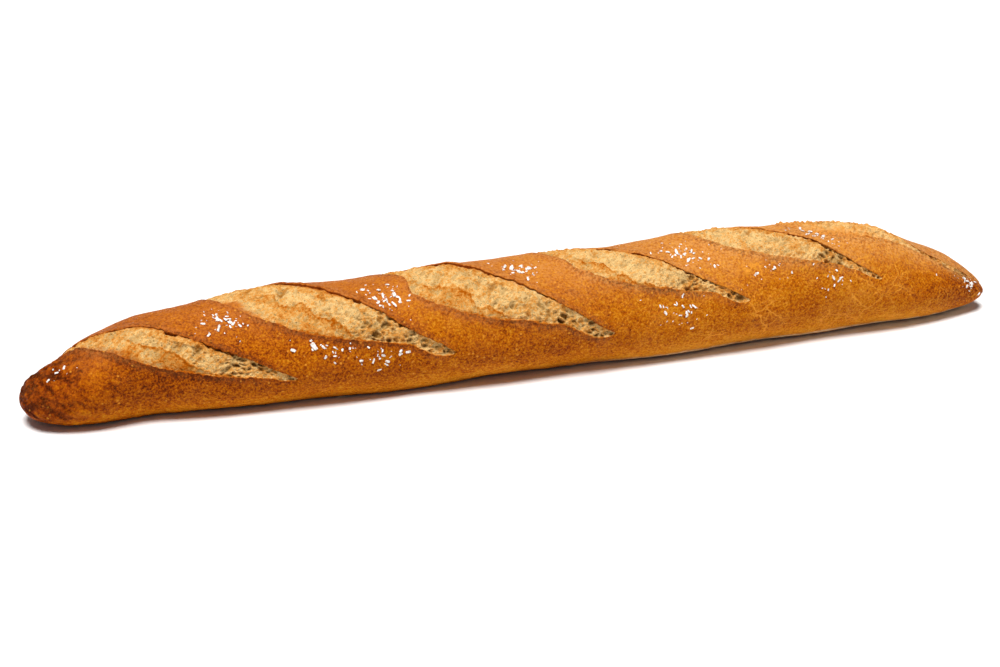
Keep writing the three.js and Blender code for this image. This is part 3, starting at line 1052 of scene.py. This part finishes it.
@dataclass
class Salt:
    """Coarse grains at the CAD's crystals, and fine grains scattered round them."""

    loaf: Loaf
    seed: int = 5
    coarse_side: tuple[float, float] = (1.2, 2.3)
    fine_side: float = 0.45
    fine_more: float = 1.4
    fine_per_crystal: int = 8
    scatter: float = 6.0
    scatter_round: float = 0.7  # how much less they scatter round the loaf than along it
    off_crumb: float = 1.5
    reach: float = 262.0  # how far along they lie
    slimmest: tuple[float, float, float] = (1.0, 0.45, 0.18)  # a grain's sides, over its size
    broadest: tuple[float, float, float] = (1.8, 0.9, 0.38)
    rounding: float = 0.11
    roughness: float = 0.16
    lean: float = 0.2
    standing: float = 0.72  # how much of its lower half stands over the crust

    def crystal_nodes(self) -> list[str]:
        """The CAD's crystals, in order."""
        return sorted(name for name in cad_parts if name.startswith("salt_crystal_"))

    def places(self) -> tuple[Array, Array]:
        """Where the CAD's crystals lie on the crust, as x and angle.

        Returns:
            Places along the loaf and round it.
        """
        boxes = [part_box(name) for name in self.crystal_nodes()]
        centre = np.array([(low + high) / 2 for low, high in boxes]) / METRES - self.loaf.shift
        place = self.loaf.stretched(centre[:, 0])
        waist, over, below = self.loaf.section(place)
        up = centre[:, 2] - waist
        rise = np.where(up > 0, over, below)
        out = self.loaf.along_curve("bow", place) - centre[:, 1]
        half_width = self.loaf.along_curve("width", place) / 2
        return centre[:, 0], np.degrees(np.arctan2(up / rise, out / half_width))

    def block(self) -> tuple[Array, Array]:
        """A block of 26 points with its edges pulled in, and its faces, four to a side.

        Returns:
            The points, and the corners of the faces.
        """
        lattice = np.array(list(itertools.product((-1, 0, 1), repeat=3)), dtype=float)
        block = lattice[np.abs(lattice).max(axis=1) == 1]
        number = {tuple(point): i for i, point in enumerate(block)}
        faces = []
        for axis, sign, i, j in itertools.product(range(3), (-1, 1), (-1, 0), (-1, 0)):
            around = ((i, j), (i + 1, j), (i + 1, j + 1), (i, j + 1))
            corners = [number[tuple(np.roll((sign, *corner), axis))] for corner in around]
            faces.append(corners[::sign])
        past_centre = np.abs(block).sum(axis=1, keepdims=True) - 1
        return block * (1 - self.rounding * past_centre), np.array(faces)

    def grains(
        self, name: str, x: Array, angle: Array, side: Array, rng: np.random.Generator
    ) -> bpy.types.Object:
        """Sets a grain on the crust at each place: a block stretched, roughened and turned.

        Args:
            name: the piece's name.
            x: places along the loaf.
            angle: places round it.
            side: the grains' sizes.
            rng: where the random numbers come from.

        Returns:
            One piece that holds them all.
        """
        block, faces = self.block()
        count = len(x)
        stretch = side[:, None, None] / 2 * rng.uniform(self.slimmest, self.broadest, (count, 1, 3))
        rough = 1 + self.roughness * rng.standard_normal((count, len(block), 3))
        turn = rng.uniform(0, 2 * math.pi, count)
        tilt = rng.normal(0, self.lean, (2, count))
        local = self.turned(block * rough * stretch, turn, *tilt)
        local[..., 2] += self.standing * np.abs(local[..., 2]).max(axis=1, keepdims=True)
        normal = self.loaf.outward(self.loaf.stretched(x), angle)
        east = np.cross(normal, [0.0, 0.0, 1.0])
        east /= np.linalg.norm(east, axis=-1, keepdims=True)
        axes = np.stack([east, np.cross(normal, east), normal], axis=1)
        points = (local @ axes + self.loaf.crust(x, angle)[:, None]).reshape(-1, 3)
        quads = (faces + len(block) * np.arange(count)[:, None, None]).reshape(-1, 4)
        piece = make_piece(name, points, quads, {})
        piece.data.polygons.foreach_set("use_smooth", np.zeros(len(quads), dtype=bool))
        return piece

    @staticmethod
    def turned(local: Array, *angles: Array) -> Array:
        """Turns each grain about its upright axis, and leans it a little about the others.

        Args:
            local: the grains' points, by grain; they are changed in place.
            *angles: for each turn, one angle for each grain.

        Returns:
            The turned points.
        """
        for (i, j), angle in zip(((0, 1), (0, 2), (1, 2)), angles):
            c, s = np.cos(angle)[:, None], np.sin(angle)[:, None]
            first, second = local[..., i].copy(), local[..., j].copy()
            local[..., i], local[..., j] = c * first - s * second, s * first + c * second
        return local

    def build(self) -> tuple[bpy.types.Object, bpy.types.Object]:
        """Makes the coarse grains and the fine grains, which keep to the crust.

        Returns:
            The two pieces.
        """
        rng = np.random.default_rng(self.seed)
        x, angle = self.places()
        coarse = self.grains("coarse_salt", x, angle, rng.uniform(*self.coarse_side, len(x)), rng)
        spread = rng.normal(0, self.scatter, (2, len(x) * self.fine_per_crystal))
        x = np.repeat(x, self.fine_per_crystal) + spread[0]
        turn = spread[1] / Slash.crust_per_degree * self.scatter_round
        angle = np.repeat(angle, self.fine_per_crystal) + turn
        keep = (self.loaf.lips(x, angle)[2] < -self.off_crumb) & (np.abs(x) < self.reach)
        side = self.fine_side + self.fine_more * rng.random(int(keep.sum())) ** 2.5
        fine = self.grains("fine_salt", x[keep], angle[keep], side, rng)
        return coarse, fine


# ---- Finishes -----------------------------------------------------------------------------

Socket = bpy.types.NodeSocket


def colour(*screen: int) -> tuple[float, ...]:
    """Turns red, green and blue from 0 to 255 into the linear values that a shader takes."""
    shares = [value / 255 for value in screen]
    return (*(s / 12.92 if s <= 0.04 else ((s + 0.055) / 1.055) ** 2.4 for s in shares), 1.0)


class Nodes:
    """A material's node tree, with one short method for each kind of node it is built from."""

    def __init__(self, name: str) -> None:
        """Starts a material with a Principled shader and its output.

        Args:
            name: the material's name.
        """
        self.material = bpy.data.materials.new(name)
        self.material.use_nodes = True
        self.tree = self.material.node_tree
        self.shader = self.tree.nodes["Principled BSDF"]
        self.place = self.add("TexCoord", {}, "Object")

    def put(self, socket: Socket, value: Socket | float | tuple) -> None:
        """Links an output to an input, or sets the input's own value.

        Args:
            socket: the input.
            value: the output to link, or a value.
        """
        if isinstance(value, Socket):
            self.tree.links.new(value, socket)
        else:
            socket.default_value = value

    def add(self, kind: str, inputs: dict, output: int | str = 0, **settings: str | bool) -> Socket:
        """Adds a node, with its settings and inputs, and gives one of its outputs.

        Args:
            kind: the node's type, without ShaderNode.
            inputs: outputs or values, by the name or number of the input.
            output: the name or number of the output.
            **settings: the node's own settings.

        Returns:
            The output.
        """
        node = self.tree.nodes.new(f"ShaderNode{kind}")
        for setting, value in settings.items():
            setattr(node, setting, value)
        for key, value in inputs.items():
            self.put(node.inputs[key], value)
        return node.outputs[output]

    def trait(self, trait: Trait) -> Socket:
        """Reads one of the mesh's traits."""
        return self.add("Attribute", {}, "Fac", attribute_name=trait.value)

    def along(
        self, low: float, high: float, first: float = 0.0, last: float = 1.0, axis: int = 0
    ) -> Socket:
        """Goes from first to last between two places on an axis, in metres."""
        return self.remap(self.add("SeparateXYZ", {0: self.place}, axis), low, high, first, last)

    def noise(self, size: float, detail: float = 3.0, rough: float = 0.55) -> Socket:
        """Noise whose features are about size millimetres wide."""
        inputs = {"Vector": self.place, "Scale": 1 / METRES / size, "Detail": detail, "Roughness": rough}
        return self.add("TexNoise", inputs)

    def cells(self, size: float, feature: str = "F1", place: Socket | None = None) -> Socket:
        """Distances in a pattern of cells about size millimetres wide."""
        inputs = {"Vector": place or self.place, "Scale": 1 / METRES / size}
        return self.add("TexVoronoi", inputs, "Distance", feature=feature)

    def warped(self, size: float, amount: float) -> Socket:
        """Object coordinates pushed about by noise, by up to amount millimetres.

        Args:
            size: width of the features of the noise.
            amount: the greatest push.

        Returns:
            The coordinates.
        """
        inputs = {"Vector": self.place, "Scale": 1 / METRES / size, "Detail": 3.0}
        push = {0: self.add("TexNoise", inputs, "Color"), 1: (2 * amount * METRES,) * 3, 2: self.place}
        return self.add("VectorMath", push, operation="MULTIPLY_ADD")

    def remap(
        self, value: Socket, low: float, high: float, first: float = 0.0, last: float = 1.0
    ) -> Socket:
        """Carries low to first and high to last, eased and clamped."""
        inputs = dict(enumerate((value, low, high, first, last)))
        return self.add("MapRange", inputs, interpolation_type="SMOOTHSTEP")

    def maths(self, operation: str, *values: Socket | float, clamp: bool = False) -> Socket:
        """One step of arithmetic."""
        return self.add("Math", dict(enumerate(values)), operation=operation, use_clamp=clamp)

    def times(self, *factors: Socket | float) -> Socket:
        """Multiplies values."""
        return reduce(lambda first, second: self.maths("MULTIPLY", first, second), factors)

    def centred(self, value: Socket, gain: float) -> Socket:
        """Turns a value round 0.5 into one round 0, gain times as strong."""
        return self.maths("MULTIPLY_ADD", value, gain, -gain / 2)

    def ramp(self, value: Socket, *stops: tuple[float, tuple]) -> Socket:
        """Turns a value into a colour that runs through the stops.

        Args:
            value: from 0 to 1.
            *stops: positions with their colours, in order.

        Returns:
            The colour.
        """
        output = self.add("ValToRGB", {0: value})
        elements = output.node.color_ramp.elements
        while len(elements) < len(stops):
            elements.new(0.5)
        for element, (position, tint) in zip(elements, stops):
            element.position = position
            element.color = tint
        return output

    def mix(
        self, share: Socket, first: Socket | tuple, second: Socket | tuple, kind: str = "RGBA"
    ) -> Socket:
        """Mixes two colours, or two values of another kind, FLOAT or VECTOR.

        Args:
            share: how much of the second there is.
            first: what share 0 gives.
            second: what share 1 gives.
            kind: RGBA, FLOAT or VECTOR.

        Returns:
            The mixture.
        """
        order = ("FLOAT", "VECTOR", "RGBA").index(kind)
        inputs = {0: share, 2 * order + 2: first, 2 * order + 3: second}
        return self.add("Mix", inputs, order, data_type=kind)

    def bump(self, height: Socket, depth: float) -> Socket:
        """Turns heights from 0 to 1 into a bent normal, depth millimetres from low to high."""
        return self.add("Bump", {"Strength": 1.0, "Distance": depth * METRES, "Height": height})

    def finish(
        self, tint: Socket | tuple, roughness: Socket | float, normal: Socket | None = None
    ) -> bpy.types.Material:
        """Fills the shader's inputs, and gives the material.

        Args:
            tint: the base colour.
            roughness: the roughness.
            normal: the bent normal, if there is one.

        Returns:
            The material.
        """
        self.put(self.shader.inputs["Base Color"], tint)
        self.put(self.shader.inputs["Roughness"], roughness)
        if normal:
            self.put(self.shader.inputs["Normal"], normal)
        return self.material


@dataclass(frozen=True)
class BreadFinish:
    """Baked crust and torn crumb, told apart by the traits of the mesh."""

    pale: tuple = colour(214, 146, 42)
    golden: tuple = colour(198, 117, 8)
    amber: tuple = colour(173, 85, 1)
    brown: tuple = colour(128, 50, 1)
    dark: tuple = colour(74, 24, 1)
    speck: tuple = colour(226, 148, 48)
    # Colours of the painted sheen, duller on the left than on the right.
    painted_sheen_left: tuple = colour(198, 118, 54)
    painted_sheen_right: tuple = colour(228, 162, 88)
    flour: tuple = colour(246, 222, 180)
    # The base's own tan, which along the bottom edge also paints contact shade.
    sole: tuple = colour(128, 74, 26)
    cream: tuple = colour(238, 198, 132)
    straw: tuple = colour(226, 162, 82)
    toast: tuple = colour(196, 114, 32)
    # Painted shade in the crumb's cells and pores.
    cell: tuple = colour(122, 84, 28)
    gloss: float = 0.04
    matt: float = 0.88  # roughness of crumb, flour and base

    def crust_colour(self, n: Nodes) -> Socket:
        """Browning by trait and mottling, under painted sheen, specks, crackle, flour and the base,
        which also paints contact shade.

        Args:
            n: the material's nodes.

        Returns:
            The colour.
        """
        blotches = n.centred(n.noise(2.8, 3.0, 0.6), 0.65)
        grain = n.times(n.centred(n.noise(1.15, 3.0, 0.75), 2.0), n.along(-0.25, -0.2, 0.5))
        bake = n.maths("ADD", n.trait(Trait.BAKE), n.maths("ADD", blotches, grain), clamp=True)
        tints = (self.pale, self.golden, self.amber, self.brown, self.dark)
        base = n.ramp(bake, *zip((0.0, 0.28, 0.55, 0.8, 1.0), tints))
        patchy = n.remap(n.noise(1.6, 3.0, 0.65), 0.38, 0.62, 0.25, 0.75)
        # The painted sheen's colour, from left to right.
        sheen = n.mix(n.along(-0.15, 0.18), self.painted_sheen_left, self.painted_sheen_right)
        frost = n.remap(n.noise(0.7, 1.0, 0.5), 0.6, 0.7)
        frosted = n.remap(n.noise(15.0, 2.0), 0.35, 0.6, 0.3, 1.0)
        blister = n.remap(n.cells(4.2), 0.2, 0.1)
        chosen = n.remap(n.noise(8.0, 1.0), 0.44, 0.54)
        pits = n.remap(n.cells(3.7), 0.16, 0.05)
        layers = (
            (n.times(n.trait(Trait.PAINTED_SHEEN), patchy), sheen),
            (n.times(frost, frosted, n.along(-0.1, 0.12, 0.2, 0.75)), self.speck),
            (n.times(blister, chosen, 0.7), self.speck),
            (n.times(pits, 0.45), self.brown),
            (n.times(self.crackle(n), 0.8), self.speck),
            (n.times(n.trait(Trait.FLOUR), 0.9), self.flour),
            (n.trait(Trait.SOLE_AND_CONTACT_SHADE), self.sole_colour(n)),
        )
        for share, tint in layers:
            base = n.mix(share, base, tint)
        return base

    def sole_colour(self, n: Nodes) -> Socket:
        """The base: even tan with darker blotches and a dusting of flour, which is also painted contact
        shade along the bottom edge.
        """
        blotched = n.mix(n.remap(n.noise(11.0, 4.0), 0.42, 0.62), self.sole, self.brown)
        return n.mix(n.remap(n.noise(3.0, 4.0), 0.5, 0.68), blotched, self.flour)

    def crackle(self, n: Nodes) -> Socket:
        """Thin pale lines where the crust crackled, on the front of the loaf's pointed half.

        Args:
            n: the material's nodes.

        Returns:
            How strong the lines are, from 0 to 1.
        """
        edge = "DISTANCE_TO_EDGE"
        broad = n.remap(n.cells(17.0, edge, n.warped(9.0, 5.0)), 0.03, 0.006)
        fine = n.remap(n.cells(7.0, edge, n.warped(5.0, 3.0)), 0.035, 0.008, 0.0, 0.6)
        where = n.times(n.along(-0.008, -0.02, axis=1), n.along(0.03, 0.11))
        some = n.remap(n.noise(19.0, 2.0), 0.42, 0.6)
        return n.times(n.maths("MAXIMUM", broad, fine), where, some)

    def crumb_colour(self, n: Nodes) -> Socket:
        """Cream, toasted where it stands up, with painted shade in its cells and in fine pores.

        Args:
            n: the material's nodes.

        Returns:
            The colour.
        """
        coarse, fine = n.centred(n.noise(2.4, 4.0, 0.7), 1.7), n.centred(n.noise(1.0, 1.0), 1.2)
        level = n.maths("ADD", n.trait(Trait.TOAST), n.maths("ADD", coarse, fine), clamp=True)
        tints = (self.cream, self.straw, self.toast, self.amber)
        base = n.ramp(level, *zip((0.0, 0.35, 0.8, 1.0), tints))
        # Painted shade in fine pores, and by the cell trait in cells, bowls and the web's hollows.
        pores = n.remap(n.noise(1.0, 2.0, 0.7), 0.43, 0.33)
        base = n.mix(n.times(pores, 0.75), base, self.cell)
        return n.mix(n.times(n.trait(Trait.CELL_SHADE), 0.85), base, self.cell)

    def build(self, name: str) -> bpy.types.Material:
        """Makes the material.

        Args:
            name: the material's name.

        Returns:
            The material.
        """
        n = Nodes(name)
        n.shader.inputs["Specular IOR Level"].default_value = self.gloss
        torn = n.remap(n.trait(Trait.CRUMB), 0.2, 0.75)
        sheen = n.remap(n.noise(1.8, 4.0), 0.3, 0.7, 0.42, 0.6)
        dusty = n.maths("MAXIMUM", n.trait(Trait.FLOUR), n.trait(Trait.SOLE_AND_CONTACT_SHADE))
        roughness = n.mix(n.maths("MAXIMUM", torn, dusty), sheen, self.matt, "FLOAT")
        skin = n.maths("ADD", n.noise(1.1, 4.0, 0.6), n.times(n.cells(1.7), -0.35))
        normal = n.mix(torn, n.bump(skin, 0.9), n.bump(n.noise(0.7, 4.0, 0.7), 0.8), "VECTOR")
        return n.finish(n.mix(torn, self.crust_colour(n), self.crumb_colour(n)), roughness, normal)


@dataclass(frozen=True)
class SaltFinish:
    """White, slightly clear salt with glossy facets and a frosted grain."""

    white: tuple = colour(252, 250, 246)
    grey: tuple = colour(196, 182, 170)

    def build(self, name: str) -> bpy.types.Material:
        """Makes the material.

        Args:
            name: the material's name.

        Returns:
            The material.
        """
        n = Nodes(name)
        tint = n.ramp(n.noise(0.9), (0.35, self.grey), (0.6, self.white))
        roughness = n.remap(n.noise(0.6), 0.35, 0.65, 0.12, 0.4)
        return n.finish(tint, roughness, n.bump(n.noise(0.5), 0.12))


# ---- Room ---------------------------------------------------------------------------------


@dataclass(frozen=True)
class Studio:
    """A white floor and surround, soft lights and the camera."""

    azimuth: float = -14.7
    elevation: float = 25.0
    distance: float = 1.239
    lens: float = 85.0
    aim: tuple[float, float, float] = (-0.0156, -0.0155, 0.021)
    surround: float = 0.15
    floor_reach: float = 9.0
    floor_white: tuple = colour(244, 243, 242)
    sun_side: tuple[float, float, float] = (-0.12, -0.22, 1.0)
    sun_strength: float = 4.2
    sun_spread: float = 0.42
    lamp_place: tuple[float, float, float] = (-0.3, 0.3, 1.2)
    lamp_size: tuple[float, float] = (1.2, 0.6)
    lamp_watts: float = 1.0

    @staticmethod
    def hang(name: str, data: bpy.types.ID, place: Vector, back: Vector) -> bpy.types.Object:
        """Places a camera or a lamp with its back turned to a direction.

        Args:
            name: the object's name.
            data: the camera or the lamp.
            place: where it is.
            back: the direction that its back faces.

        Returns:
            The object.
        """
        thing = bpy.data.objects.new(name, data)
        thing.location = place
        thing.rotation_mode = "QUATERNION"
        thing.rotation_quaternion = (-back).to_track_quat("-Z", "Y")
        bpy.context.scene.collection.objects.link(thing)
        return thing

    def camera(self) -> None:
        """Stands the camera to the front left and above, looking down at the loaf's middle."""
        data = bpy.data.cameras.new("camera")
        data.lens = self.lens
        data.sensor_width = 36.0
        a, e = math.radians(self.azimuth), math.radians(self.elevation)
        back = Vector((math.sin(a) * math.cos(e), -math.cos(a) * math.cos(e), math.sin(e)))
        place = Vector(self.aim) + back * self.distance
        bpy.context.scene.camera = self.hang("camera", data, place, back)

    def floor(self) -> None:
        """Lays a wide white floor."""
        reach = self.floor_reach
        mesh = bpy.data.meshes.new("floor")
        corners = [(-reach, -reach, 0), (reach, -reach, 0), (reach, reach, 0), (-reach, reach, 0)]
        mesh.from_pydata(corners, [], [(0, 1, 2, 3)])
        mesh.materials.append(Nodes("floor_white").finish(self.floor_white, 0.9))
        floor = bpy.data.objects.new("floor", mesh)
        bpy.context.scene.collection.objects.link(floor)

    def lamps(self) -> None:
        """Adds the even light that whitens the floor, and a soft rectangular lamp overhead."""
        even = bpy.data.lights.new("ceiling", "SUN")
        even.energy = self.sun_strength
        even.angle = self.sun_spread
        self.hang("ceiling", even, Vector(), Vector(self.sun_side))
        soft = bpy.data.lights.new("overhead", "AREA")
        soft.shape = "RECTANGLE"
        soft.size, soft.size_y = self.lamp_size
        soft.energy = self.lamp_watts
        self.hang("overhead", soft, Vector(self.lamp_place), Vector(self.lamp_place))

    def build(self) -> None:
        """Sets up the whole room."""
        self.camera()
        self.floor()
        self.lamps()
        world = bpy.data.worlds.new("surround")
        world.use_nodes = True
        background = world.node_tree.nodes["Background"]
        background.inputs["Color"].default_value = (1.0, 1.0, 1.0, 1.0)
        background.inputs["Strength"].default_value = self.surround
        scene = bpy.context.scene
        scene.world = world
        scene.view_settings.view_transform = "Standard"


# ---- Assembly -----------------------------------------------------------------------------


def dress(piece: bpy.types.Object, material: bpy.types.Material) -> None:
    """Gives a piece its material, and sets it riding with the loaf.

    Args:
        piece: the piece.
        material: its material.
    """
    piece.data.materials.append(material)
    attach(piece, "root")


def main() -> None:
    """Builds the room and the baguette."""
    logging.basicConfig(level=logging.INFO, format="%(name)s: %(message)s")
    Studio().build()
    loaf = Loaf()
    bread = BreadFinish().build("baked_bread")
    crust = CrustSkin(loaf).build()
    dress(crust, bread)
    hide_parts("loaf")
    for number, slash in enumerate(loaf.slashes, 1):
        dress(Opening(loaf, slash).build(number), bread)
    salt = Salt(loaf)
    coarse, fine = salt.build()
    grain = SaltFinish().build("salt")
    dress(coarse, grain)
    dress(fine, grain)
    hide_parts(*salt.crystal_nodes())


if __name__ == "__main__":
    main()
